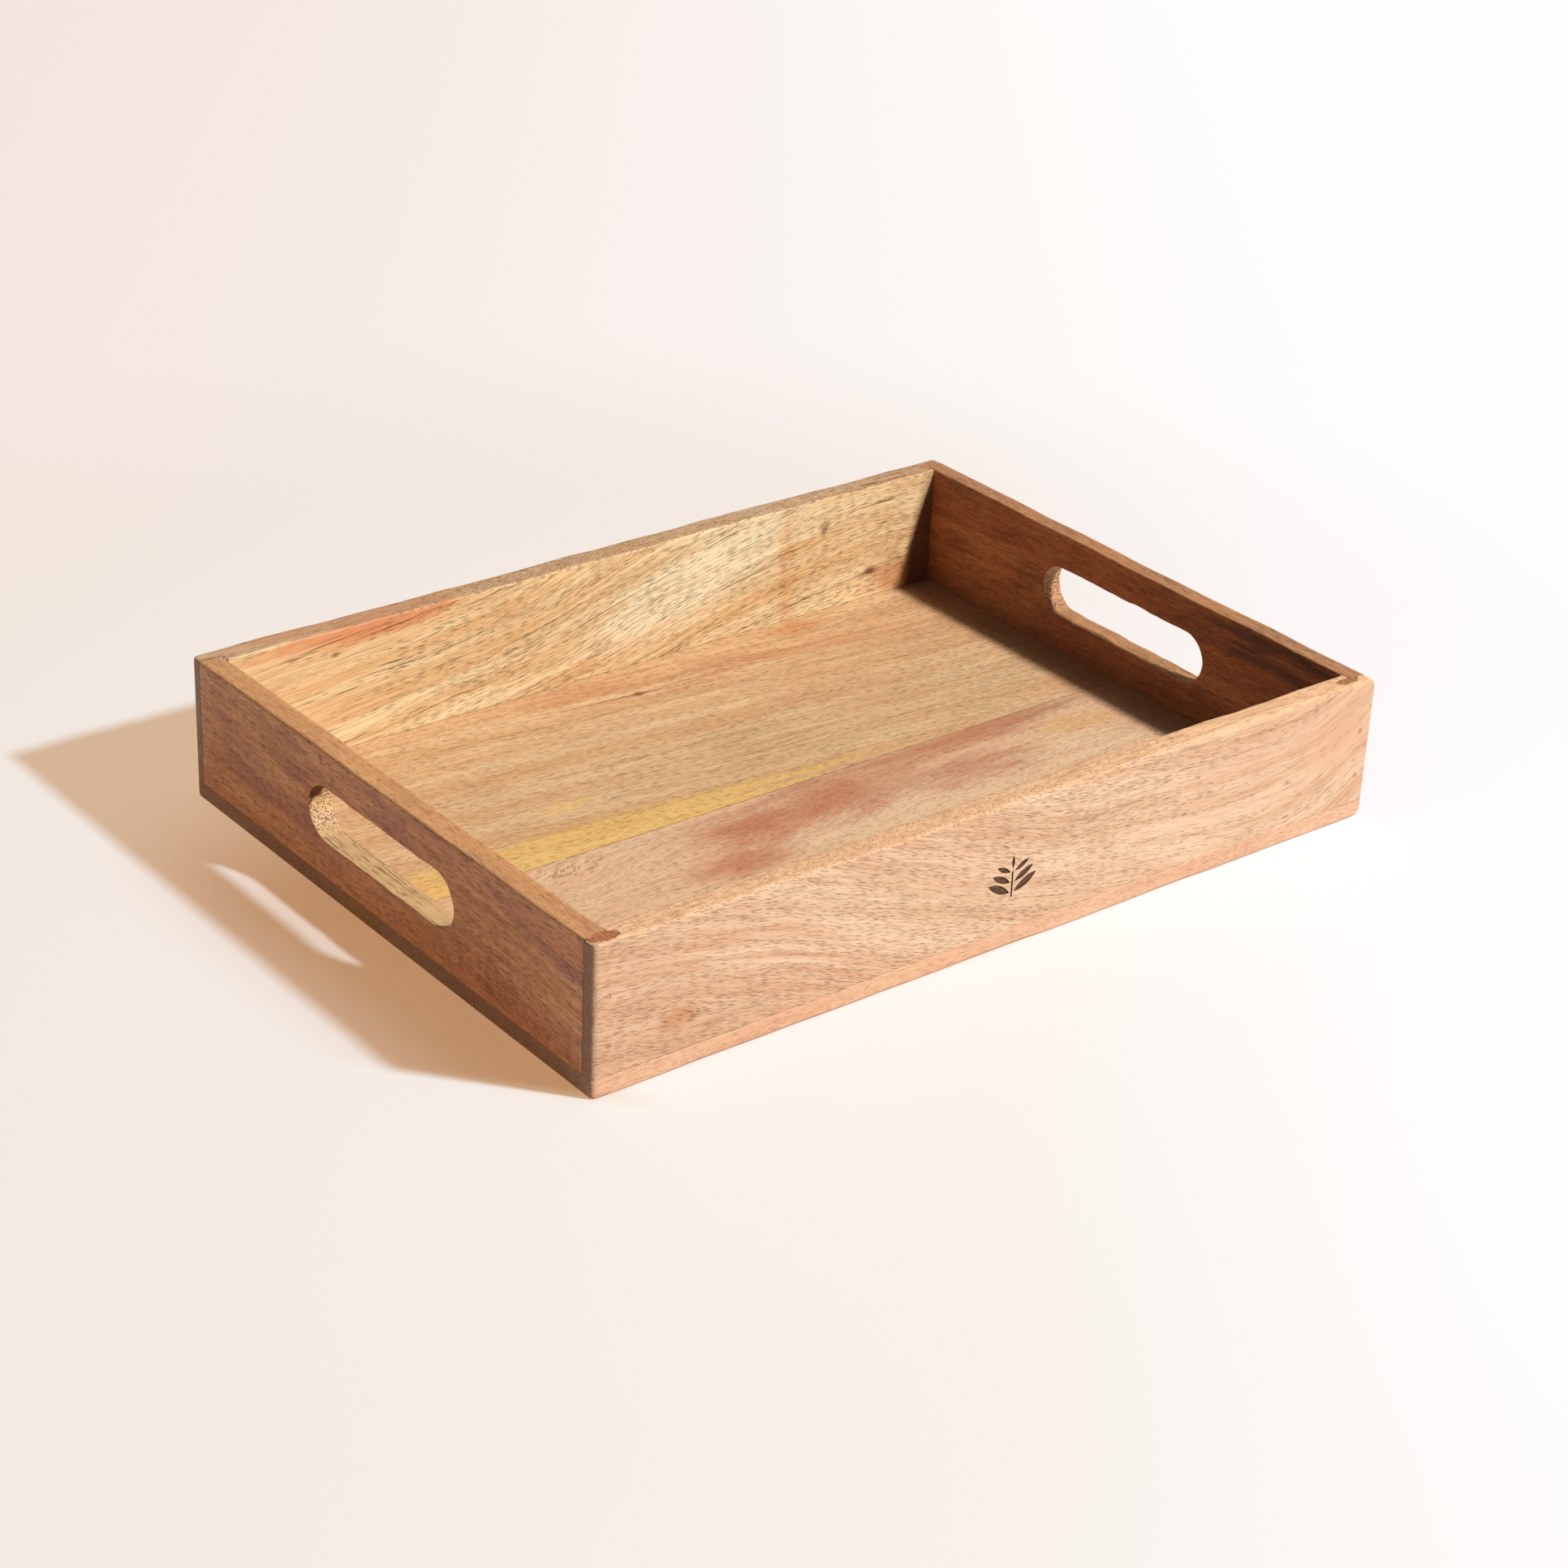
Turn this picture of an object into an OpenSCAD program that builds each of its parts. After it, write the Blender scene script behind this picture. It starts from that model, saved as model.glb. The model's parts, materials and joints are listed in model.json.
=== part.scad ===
// Rectangular serving tray in solid mango wood, with a hand slot through each end board.
//
// Two planks glued edge to edge make a base as large as the tray. Two long rails and two end boards
// stand on it, flush with its outside. Each rail is rebated at both ends, so that an end board fits
// behind the rail's lip, and two brads driven through the lip hold each corner. Filler hides the
// brads and patches the tops of the corner joints. Brads from below hold the base.
//
// Frame: millimetres, +Z up, +X along the tray, -Y is the side with the engraved sprig.
// The origin is the centre of the underside.

/* [Tray] */
// Overall length
tray_l = 390; // [340:1:440]
// Overall width
tray_w = 280; // [240:1:320]
// Overall height
tray_h = 63; // [58:0.5:80]

/* [Boards] */
// Thickness of the front and back rails
rail_t = 11; // [9.5:0.5:13]
// Thickness of the end boards
end_t = 10.5; // [9.5:0.5:13]
// Thickness of the base planks
base_t = 8; // [6:0.5:10]
// Thickness of rail left in front of an end board
lip_t = 6; // [5:0.5:7]

/* [Edges] */
// Radius of the upright corners
corner_r = 2.5; // [1.5:0.5:4]
// Radius of the outer top edges
top_edge_r = 1.2; // [0.8:0.1:2]
// Radius of the outer bottom edges
bottom_edge_r = 1.5; // [0.8:0.1:2]
// Radius of the top edge at the right end, which is sanded rounder
right_top_r = 4; // [1:0.5:5]
// Radius of the bottom edge at the right end
right_bottom_r = 5; // [1.5:0.5:5]
// Size of the bevel on the inner top edges
inner_bevel = 0.8; // [0.4:0.1:1.2]

/* [Hand slots] */
// Length of a slot, from round end to round end
slot_l = 102; // [85:1:120]
// Height of a slot
slot_h = 23.5; // [20:0.5:26]
// Height of a slot's centre above the underside
slot_z = 35.3; // [33:0.1:37]

/* [Brads] */
// Diameter of a brad's shank
brad_d = 1.6; // [1.2:0.1:2]
// Diameter of a brad's head
brad_head_d = 2.4; // [2.2:0.1:3]
// Thickness of a brad's head
brad_head_t = 0.8; // [0.5:0.1:1.2]
// Length of a corner brad
corner_brad_l = 28; // [20:1:35]
// Length of a base brad
base_brad_l = 26; // [20:1:30]
// Depth of a corner brad's head below the rail's face
corner_sink = 1.2; // [0.8:0.1:1.5]
// Depth of a base brad's head above the underside
base_sink = 0.3; // [0.1:0.1:0.6]
// Distance of the corner brads from the tray's ends
brad_inset = 7; // [6:0.5:8]

/* [Filler] */
// Length of the patch on a corner joint
patch_l = 12; // [9:0.5:14]
// Width of the patch
patch_w = 4.5; // [3:0.5:5]
// Depth of the patch
patch_depth = 1.4; // [1:0.1:2]

/* [Engraved sprig] */
// Depth of the engraving
sprig_depth = 0.4; // [0.2:0.1:0.8]
// Height of the sprig
sprig_h = 18; // [14:0.5:20]
// Height of the sprig's foot above the underside
sprig_z = 22; // [20:1:30]

/* [Hidden] */
$fn = 64;

// How far raw boards and cutters pass the surface that trims them
over = 1;
half_l = tray_l / 2;
half_w = tray_w / 2;
// Length of an end board, between the two lips
end_l = tray_w - 2 * lip_t;
// Heights of the two brads in each corner
brad_heights = [20.5, 41];
// Places of the base brads along each rail and across each end board
rail_brad_x = [-150, -50, 50, 150];
end_brad_y = [-65, 65];
// Middle of a corner patch, from the tray's end and from the rail's outer face
patch_x = 7.5;
patch_y = 5;
// The sprig's stem, and the space left between it and the leaves
stem_w = 0.8;
leaf_gap = 1.2;
// Height of each pair of leaves on the stem and its length, as shares of the sprig's height
leaf_pairs = [[0.08, 0.7], [0.33, 0.58], [0.58, 0.44]];
// The leaf at the top of the stem, as in a pair
top_leaf = [0.62, 0.31];
// Angle of the paired leaves to the stem, and the width of a leaf as a share of its length
leaf_spread = 62;
leaf_slimness = 0.27;

// A rectangle from y = 0 to h, centred on x = 0, with corner radii given
// counter-clockwise from the bottom left
module rounded_rect(w, h, radii) {
    r = radii;
    union() {
        polygon([
            [-w / 2 + r[0], 0], [w / 2 - r[1], 0],
            [w / 2, r[1]], [w / 2, h - r[2]],
            [w / 2 - r[2], h], [-w / 2 + r[3], h],
            [-w / 2, h - r[3]], [-w / 2, r[0]]
        ]);
        translate([-w / 2 + r[0], r[0]]) circle(r[0]);
        translate([w / 2 - r[1], r[1]]) circle(r[1]);
        translate([w / 2 - r[2], h - r[2]]) circle(r[2]);
        translate([-w / 2 + r[3], h - r[3]]) circle(r[3]);
    }
}

// The outside of the finished tray, which every outer board is sanded to
module sanded_outside() {
    intersection() {
        translate([0, -half_w, -over])
            linear_extrude(tray_h + 2 * over)
                rounded_rect(tray_l, tray_w, [corner_r, corner_r, corner_r, corner_r]);
        translate([0, half_w + over, 0])
            rotate([90, 0, 0])
                linear_extrude(tray_w + 2 * over)
                    rounded_rect(tray_l, tray_h, [bottom_edge_r, right_bottom_r, right_top_r, top_edge_r]);
        translate([-half_l - over, 0, 0])
            rotate([90, 0, 90])
                linear_extrude(tray_l + 2 * over)
                    rounded_rect(tray_w, tray_h, [bottom_edge_r, bottom_edge_r, top_edge_r, top_edge_r]);
    }
}

// A block given by its lowest and highest corners
module block(low, high) {
    translate(low) cube(high - low);
}

// A 45 degree bevel cutter along Y, for the edge at x = 0, z = 0 of wood that lies below it
module bevel_cutter(size, length) {
    rotate([90, 0, 0])
        translate([0, 0, -length / 2])
            linear_extrude(length)
                polygon([[-size, over], [-size, 0], [0, -size], [over, -size], [over, over]]);
}

// A round-ended bar along X, centred on the origin
module obround(length, width) {
    straight = length - width;
    union() {
        square([straight, width], center = true);
        for (side = [-1, 1])
            translate([side * straight / 2, 0]) circle(width / 2);
    }
}

// One brad, head up at z = 0 and shank down
module brad(length) {
    translate([0, 0, -brad_head_t]) cylinder(d = brad_head_d, h = brad_head_t);
    translate([0, 0, -length]) cylinder(d = brad_d, h = length);
}

// The hole that a sunk brad leaves: its shank, its head and the open mouth above the head
module brad_hole(length, sink) {
    brad(length);
    cylinder(d = brad_head_d, h = sink + over);
}

// Puts its children at the brads of the corners on the given sides, z out of the rail's face
module at_corner_brads(sides_x, sides_y) {
    for (sx = sides_x, sy = sides_y, z = brad_heights)
        translate([sx * (half_l - brad_inset), sy * (half_w - corner_sink), z])
            rotate([-sy * 90, 0, 0])
                children();
}

// Puts its children at each base brad in a row along X, z down out of the base
module at_rail_base_brads(side_y) {
    for (x = rail_brad_x)
        translate([x, side_y * (half_w - rail_t / 2), base_sink])
            rotate([180, 0, 0])
                children();
}

// Puts its children at each base brad below an end board, z down out of the base
module at_end_base_brads(side_x) {
    for (y = end_brad_y)
        translate([side_x * (half_l - end_t / 2), y, base_sink])
            rotate([180, 0, 0])
                children();
}

// The filler on the tops of the four corner joints before it is sanded, and the cutter for its pockets
module corner_patches() {
    for (sx = [-1, 1], sy = [-1, 1])
        translate([sx * (half_l - patch_x), sy * (half_w - patch_y), tray_h - patch_depth])
            linear_extrude(patch_depth + over)
                obround(patch_l, patch_w);
}

// A pointed leaf that grows from the origin along +Y
module leaf(length) {
    width = leaf_slimness * length;
    r = (length * length + width * width) / (4 * width);
    intersection() {
        translate([r - width / 2, length / 2]) circle(r);
        translate([width / 2 - r, length / 2]) circle(r);
    }
}

// The sprig: an upright stem, three pairs of leaves that get shorter upward, and a leaf on top
module sprig() {
    translate([-stem_w / 2, 0]) square([stem_w, top_leaf[0] * sprig_h]);
    translate([0, top_leaf[0] * sprig_h + leaf_gap]) leaf(top_leaf[1] * sprig_h);
    for (side = [-1, 1], pair = leaf_pairs)
        translate([0, pair[0] * sprig_h])
            rotate(side * leaf_spread)
                translate([0, leaf_gap])
                    leaf(pair[1] * sprig_h);
}

// The sprig as a cutter that reaches sprig_depth into the front face
module sprig_cutter() {
    translate([0, -half_w + sprig_depth, sprig_z])
        rotate([90, 0, 0])
            linear_extrude(sprig_depth + over)
                sprig();
}

// One base plank before the brad holes, on the side given by -1 for front and 1 for back
module plank(side_y) {
    intersection() {
        block(
            [-half_l - over, side_y < 0 ? -half_w - over : 0, -over],
            [half_l + over, side_y < 0 ? 0 : half_w + over, base_t]
        );
        sanded_outside();
    }
}

module base_plank_front() {
    color([0.87, 0.66, 0.47])
        difference() {
            plank(-1);
            at_rail_base_brads(-1) brad_hole(base_brad_l, base_sink);
            for (side_x = [-1, 1]) at_end_base_brads(side_x) brad_hole(base_brad_l, base_sink);
        }
}

module base_plank_back() {
    color([0.85, 0.68, 0.46])
        difference() {
            plank(1);
            at_rail_base_brads(1) brad_hole(base_brad_l, base_sink);
            for (side_x = [-1, 1]) at_end_base_brads(side_x) brad_hole(base_brad_l, base_sink);
        }
}

// One long rail with its rebates, on the side given by -1 for front and 1 for back
module rail(side_y) {
    inner_y = side_y * (half_w - rail_t);
    difference() {
        intersection() {
            block(
                [-half_l - over, min(side_y * (half_w + over), inner_y), base_t],
                [half_l + over, max(side_y * (half_w + over), inner_y), tray_h + over]
            );
            sanded_outside();
        }
        for (side_x = [-1, 1])
            translate([side_x * half_l, side_y * (half_w - lip_t - rail_t / 2), tray_h / 2])
                cube([2 * end_t, rail_t, tray_h], center = true);
        translate([0, inner_y, tray_h])
            rotate([0, 0, -side_y * 90])
                bevel_cutter(inner_bevel, tray_l);
        at_corner_brads([-1, 1], [side_y]) brad_hole(corner_brad_l, corner_sink);
        at_rail_base_brads(side_y) brad_hole(base_brad_l, base_sink);
        corner_patches();
    }
}

module front_rail() {
    color([0.88, 0.69, 0.51])
        difference() {
            rail(-1);
            sprig_cutter();
        }
}

module back_rail() {
    color([0.85, 0.67, 0.43]) rail(1);
}

// One end board with its hand slot, on the side given by -1 for left and 1 for right
module end_board(side_x) {
    inner_x = side_x * (half_l - end_t);
    difference() {
        intersection() {
            block(
                [min(side_x * (half_l + over), inner_x), -end_l / 2, base_t],
                [max(side_x * (half_l + over), inner_x), end_l / 2, tray_h + over]
            );
            sanded_outside();
        }
        translate([inner_x - side_x * over, 0, slot_z])
            rotate([90, 0, side_x * 90])
                linear_extrude(end_t + 2 * over)
                    obround(slot_l, slot_h);
        translate([inner_x, 0, tray_h])
            rotate([0, 0, side_x > 0 ? 180 : 0])
                bevel_cutter(inner_bevel, tray_w);
        at_corner_brads([side_x], [-1, 1]) brad_hole(corner_brad_l, corner_sink);
        at_end_base_brads(side_x) brad_hole(base_brad_l, base_sink);
        corner_patches();
    }
}

module left_end_board() {
    color([0.68, 0.46, 0.32]) end_board(-1);
}

module right_end_board() {
    color([0.64, 0.41, 0.28]) end_board(1);
}

module corner_brads() {
    color([0.55, 0.55, 0.57])
        at_corner_brads([-1, 1], [-1, 1]) brad(corner_brad_l);
}

module brad_hole_fillers() {
    color([0.72, 0.5, 0.34])
        at_corner_brads([-1, 1], [-1, 1]) cylinder(d = brad_head_d, h = corner_sink);
}

module base_brads() {
    color([0.55, 0.55, 0.57]) {
        for (side = [-1, 1]) {
            at_rail_base_brads(side) brad(base_brad_l);
            at_end_base_brads(side) brad(base_brad_l);
        }
    }
}

module corner_joint_fillers() {
    color([0.76, 0.49, 0.36])
        intersection() {
            corner_patches();
            sanded_outside();
        }
}

base_plank_front();
base_plank_back();
front_rail();
back_rail();
left_end_board();
right_end_board();
corner_brads();
brad_hole_fillers();
base_brads();
corner_joint_fillers();
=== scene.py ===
"""The looks of a solid mango wood serving tray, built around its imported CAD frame.

Every length is in metres, unless a name ends in _mm. Boards are swept or wrapped as dense meshes with
sanded edges, and each board has its own procedural wood.
"""

import json
import math

import bmesh
import bpy
import numpy as np
from mathutils import Matrix, Vector


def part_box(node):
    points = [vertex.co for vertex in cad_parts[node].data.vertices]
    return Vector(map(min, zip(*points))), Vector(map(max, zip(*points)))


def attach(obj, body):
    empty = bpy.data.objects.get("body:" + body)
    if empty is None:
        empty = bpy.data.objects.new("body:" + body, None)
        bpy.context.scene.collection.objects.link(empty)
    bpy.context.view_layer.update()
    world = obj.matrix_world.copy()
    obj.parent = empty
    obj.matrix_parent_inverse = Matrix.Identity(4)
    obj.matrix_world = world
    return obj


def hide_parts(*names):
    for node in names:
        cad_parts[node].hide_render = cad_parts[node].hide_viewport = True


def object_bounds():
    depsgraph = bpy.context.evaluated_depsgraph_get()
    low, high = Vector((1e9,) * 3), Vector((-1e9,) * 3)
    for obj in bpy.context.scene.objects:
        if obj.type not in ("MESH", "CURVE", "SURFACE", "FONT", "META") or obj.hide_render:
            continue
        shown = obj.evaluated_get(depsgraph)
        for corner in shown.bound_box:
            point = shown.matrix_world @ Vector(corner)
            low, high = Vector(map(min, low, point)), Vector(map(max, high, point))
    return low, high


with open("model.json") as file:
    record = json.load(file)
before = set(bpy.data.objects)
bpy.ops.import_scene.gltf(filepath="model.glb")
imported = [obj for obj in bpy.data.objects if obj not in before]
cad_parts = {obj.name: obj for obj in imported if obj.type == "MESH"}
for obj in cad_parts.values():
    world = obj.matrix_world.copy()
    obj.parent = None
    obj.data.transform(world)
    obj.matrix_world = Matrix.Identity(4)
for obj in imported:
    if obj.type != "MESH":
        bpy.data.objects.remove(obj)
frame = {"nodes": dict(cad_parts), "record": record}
cad_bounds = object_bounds()
MM = 0.001

# ---------------------------------------------------------------- sizes, read from the frame
TRAY_LOW, TRAY_HIGH = cad_bounds
HALF_L = (TRAY_HIGH.x - TRAY_LOW.x) / 2
HALF_W = (TRAY_HIGH.y - TRAY_LOW.y) / 2
TRAY_H = TRAY_HIGH.z
FRONT_LOW, FRONT_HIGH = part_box("front_rail")
END_LOW, END_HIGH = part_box("left_end_board")
BASE_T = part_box("base_plank_front")[1].z
RAIL_T = FRONT_HIGH.y - FRONT_LOW.y
END_T = END_HIGH.x - END_LOW.x
LIP_T = HALF_W - END_HIGH.y

# The hand slot comes from the opening that the record states for it
SLOT_BOX = next(o["box_m"] for o in frame["record"]["physics"]["openings"] if o["name"] == "left_hand_slot")
SLOT_Z = (SLOT_BOX[0][2] + SLOT_BOX[1][2]) / 2
SLOT_R = 11.75 * MM
SLOT_HALF_L = 51 * MM

# Sanded corners and edges
CORNER_R = 2.5 * MM
TOP_EDGE_R = 1.2 * MM
INNER_EDGE_R = 0.9 * MM
BOTTOM_EDGE_R = 1.5 * MM
RIGHT_TOP_R = 4 * MM
RIGHT_BOTTOM_R = 5 * MM
JOINT_BEVEL = 0.14 * MM
SLOT_EDGE_R = 0.7 * MM
STATION_STEP = 2 * MM

# Brads and filler
BRAD_R = 0.8 * MM
BRAD_HEAD_R = 1.2 * MM
BRAD_HEAD_T = 0.8 * MM
BRAD_HEIGHTS = (20.5 * MM, 41 * MM)
BRAD_INSET = 7 * MM
CORNER_BRAD_L = 28 * MM
CORNER_SINK = 1.2 * MM
BASE_BRAD_L = 26 * MM
BASE_SINK = 0.3 * MM
RAIL_BRAD_X = (-150 * MM, -50 * MM, 50 * MM, 150 * MM)
END_BRAD_Y = 65 * MM
PATCH_DEPTH = 1.4 * MM
SPRIG_DEPTH = 0.4 * MM


# ---------------------------------------------------------------- small helpers for shapes
def wave(x, seed, length, height):
    """A smooth uneven line: five sines with random phases, about the given length and height."""
    rng = np.random.default_rng(seed)
    phases = rng.uniform(0, 2 * math.pi, 5)
    stretch = rng.uniform(0.8, 1.25, 5)
    total = sum(
        math.pow(0.72, k) * np.sin(2 * math.pi * x * (k + 1) * stretch[k] / (2 * length) + phases[k])
        for k in range(5)
    )
    return height * total / 1.6


def drop(distance, limit, radius):
    """How far a rounded corner of this radius has fallen back at a distance along. limit is its end."""
    past = np.clip(distance - (limit - radius), 0, radius)
    return radius - np.sqrt(np.maximum(radius * radius - past * past, 0))


def arc(cx, cy, radius, start_deg, end_deg, count):
    """Points on an arc, both ends included."""
    angles = np.radians(np.linspace(start_deg, end_deg, count))
    return [(cx + radius * math.cos(a), cy + radius * math.sin(a)) for a in angles]


def line(a, b, count):
    """Points from a to b, both ends left out."""
    shares = np.arange(1, count + 1) / (count + 1)
    return [(a[0] + (b[0] - a[0]) * s, a[1] + (b[1] - a[1]) * s) for s in shares]


def new_object(name, vertices, faces):
    """A smooth-shaded mesh object with its normals outward and its sharper edges kept crisp."""
    mesh = bpy.data.meshes.new(name)
    mesh.from_pydata([tuple(v) for v in vertices], [], faces)
    mesh.validate()
    piece = bpy.data.objects.new(name, mesh)
    bpy.context.scene.collection.objects.link(piece)
    finish_mesh(piece)
    return piece


def finish_mesh(piece):
    bm = bmesh.new()
    bm.from_mesh(piece.data)
    bmesh.ops.remove_doubles(bm, verts=bm.verts, dist=1e-6)
    bmesh.ops.dissolve_degenerate(bm, edges=bm.edges, dist=1e-7)
    bmesh.ops.recalc_face_normals(bm, faces=bm.faces)
    bm.to_mesh(piece.data)
    bm.free()
    piece.data.polygons.foreach_set("use_smooth", [True] * len(piece.data.polygons))
    piece.data.set_sharp_from_angle(angle=math.radians(38))
    piece.data.update()


def sweep(name, rings, looped=False):
    """A closed solid through rings of points. It has flat ends, or runs back into its first ring."""
    total, count = len(rings), len(rings[0])
    ends = [tuple(range(count)), tuple(range((total - 1) * count, total * count))]
    faces = [] if looped else ends
    for i in range(total if looped else total - 1):
        for k in range(count):
            j, after = (i + 1) % total, (k + 1) % count
            faces.append((i * count + k, i * count + after, j * count + after, j * count + k))
    return new_object(name, np.array(rings, float).reshape(-1, 3), faces)


def cut(piece, cutters):
    """Takes the cutters out of the piece. Cut faces get the cutter's material where it has one."""
    for cutter in cutters:
        modifier = piece.modifiers.new("cut", "BOOLEAN")
        modifier.operation = "DIFFERENCE"
        modifier.solver = "EXACT"
        modifier.object = cutter
        modifier.material_mode = "TRANSFER" if cutter.data.materials else "INDEX"
    bpy.context.view_layer.update()
    made = bpy.data.meshes.new_from_object(piece.evaluated_get(bpy.context.evaluated_depsgraph_get()))
    piece.modifiers.clear()
    piece.data = made
    made.name = piece.name
    finish_mesh(piece)


# ---------------------------------------------------------------- the boards
def stations():
    """Places along the tray's length: even steps, closer at the ends, and two at each rebate's shoulder."""
    shoulder = HALF_L - END_T
    even = np.arange(0, shoulder - STATION_STEP / 2, STATION_STEP)
    lip = np.linspace(shoulder, HALF_L - RIGHT_BOTTOM_R, 4)
    round_end = HALF_L - RIGHT_BOTTOM_R * (1 - np.sin(np.radians(np.linspace(10, 90, 9))))
    half = [(x, False) for x in even] + [(shoulder, False)] + [(x, True) for x in np.append(lip, round_end)]
    return [(-x, lipped) for x, lipped in reversed(half[1:])] + half


def rail_ring(x, lipped, side, seed, rounder):
    """One cross-section of a rail, as depth from the outer face and height. side is -1 in front, 1 behind.

    rounder is what the radius of the outer top edge gains towards the right end.
    """
    distance = abs(x)
    outer = drop(distance, HALF_L, CORNER_R) + wave(x, seed, 0.16, 0.10 * MM)
    end_drop = drop(distance, HALF_L, RIGHT_TOP_R if x > 0 else TOP_EDGE_R)
    top = TRAY_H + wave(x, seed + 1, 0.11, 0.22 * MM) - 0.1 * MM - end_drop
    inner = (LIP_T if lipped else RAIL_T) + wave(x, seed + 2, 0.14, 0.12 * MM) * (not lipped)
    outer_r = TOP_EDGE_R * (1.1 + wave(x, seed + 3, 0.05, 0.35)) + rounder * np.clip(0.3 + x / HALF_L, 0, 1)
    inner_r = 0.2 * MM if lipped else INNER_EDGE_R * (1.05 + wave(x, seed + 4, 0.03, 0.4))
    bevel = JOINT_BEVEL * (1.2 + wave(x, seed + 5, 0.08, 0.8))
    points = [(outer + bevel, BASE_T), (outer, BASE_T + bevel)]
    points += line((outer, BASE_T + bevel), (outer, top - outer_r), 26)
    points += arc(outer + outer_r, top - outer_r, outer_r, 180, 90, 7)
    points += line((outer + outer_r, top), (inner - inner_r, top), 5)
    points += arc(inner - inner_r, top - inner_r, inner_r, 90, 0, 6)
    points += line((inner, top - inner_r), (inner, BASE_T + bevel), 20)
    points += [(inner, BASE_T + bevel), (inner - bevel, BASE_T)]
    points += line((inner - bevel, BASE_T), (outer + bevel, BASE_T), 5)
    return [(x, side * (HALF_W - depth), z) for depth, z in points]


def rail(name, side, seed, rounder=0.0):
    return sweep(name, [rail_ring(x, lipped, side, seed, rounder) for x, lipped in stations()])


def plank_ring(x, side, seed):
    """One cross-section of a base plank, from the joint at y = 0 to the outside of the tray."""
    distance = abs(x)
    outer = HALF_W - drop(distance, HALF_L, CORNER_R) - wave(x, seed, 0.16, 0.10 * MM)
    low = drop(distance, HALF_L, RIGHT_BOTTOM_R if x > 0 else BOTTOM_EDGE_R)
    bottom_r = BOTTOM_EDGE_R * (1.0 + wave(x, seed + 1, 0.06, 0.25))
    bevel = JOINT_BEVEL * (1.2 + wave(x, seed + 5, 0.08, 0.8))
    mid = 0.07 * MM
    points = [(0, low + mid), (0, BASE_T - mid), (mid, BASE_T)]
    points += line((mid, BASE_T), (outer - bevel, BASE_T), 40)
    points += [(outer - bevel, BASE_T), (outer, BASE_T - bevel)]
    points += line((outer, BASE_T - bevel), (outer, low + bottom_r), 4)
    points += arc(outer - bottom_r, low + bottom_r, bottom_r, 0, -90, 6)
    points += line((outer - bottom_r, low), (mid, low), 40)
    points += [(mid, low)]
    return [(x, side * y, z) for y, z in points]


def plank(name, side, seed):
    places = sorted(set(x for x, _ in stations()))
    return sweep(name, [plank_ring(x, side, seed) for x in places])


def slot_and_edge_loops():
    """Matching points round an end board's outline and round its hand slot, as (y, z) arrays.

    Also gives the slot's outward directions and how far along the slot each point is, from 0 to 1.
    """
    half_y, low, high = HALF_W - LIP_T, BASE_T, TRAY_H
    counts = (110, 30, 110, 30)
    corners = np.array([(half_y, high), (-half_y, high), (-half_y, low), (half_y, low)])
    sides = zip(corners, np.roll(corners, -1, axis=0), counts)
    outer = np.concatenate([np.linspace(a, b, count, endpoint=False) for a, b, count in sides])

    # The slot's round ends spread over the short sides and a little of the long ones
    end_share = 0.085
    marks = (end_share, 0.5 - end_share, 0.5 + end_share, 1 - end_share, 1 + end_share)
    spans = zip(marks, marks[1:], counts)
    shares = np.concatenate([np.linspace(a, b, count, endpoint=False) for a, b, count in spans])

    # Round the slot from the middle of its right end: a quarter turn, straight, a half turn and so on
    straight = SLOT_HALF_L - SLOT_R
    quarter = math.pi * SLOT_R / 2
    legs = np.cumsum([0, quarter, 2 * straight, 2 * quarter, 2 * straight, quarter])
    travel = (shares % 1) * legs[-1]
    angle = np.interp(travel, legs, np.radians([0, 90, 90, 270, 270, 360]))
    centre = np.interp(travel, legs, np.array([1, 1, -1, -1, 1, 1]) * straight)
    normals = np.column_stack([np.cos(angle), np.sin(angle)])
    slot = normals * SLOT_R + np.column_stack([centre, np.full(len(centre), SLOT_Z)])
    return outer, slot, normals, shares


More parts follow.
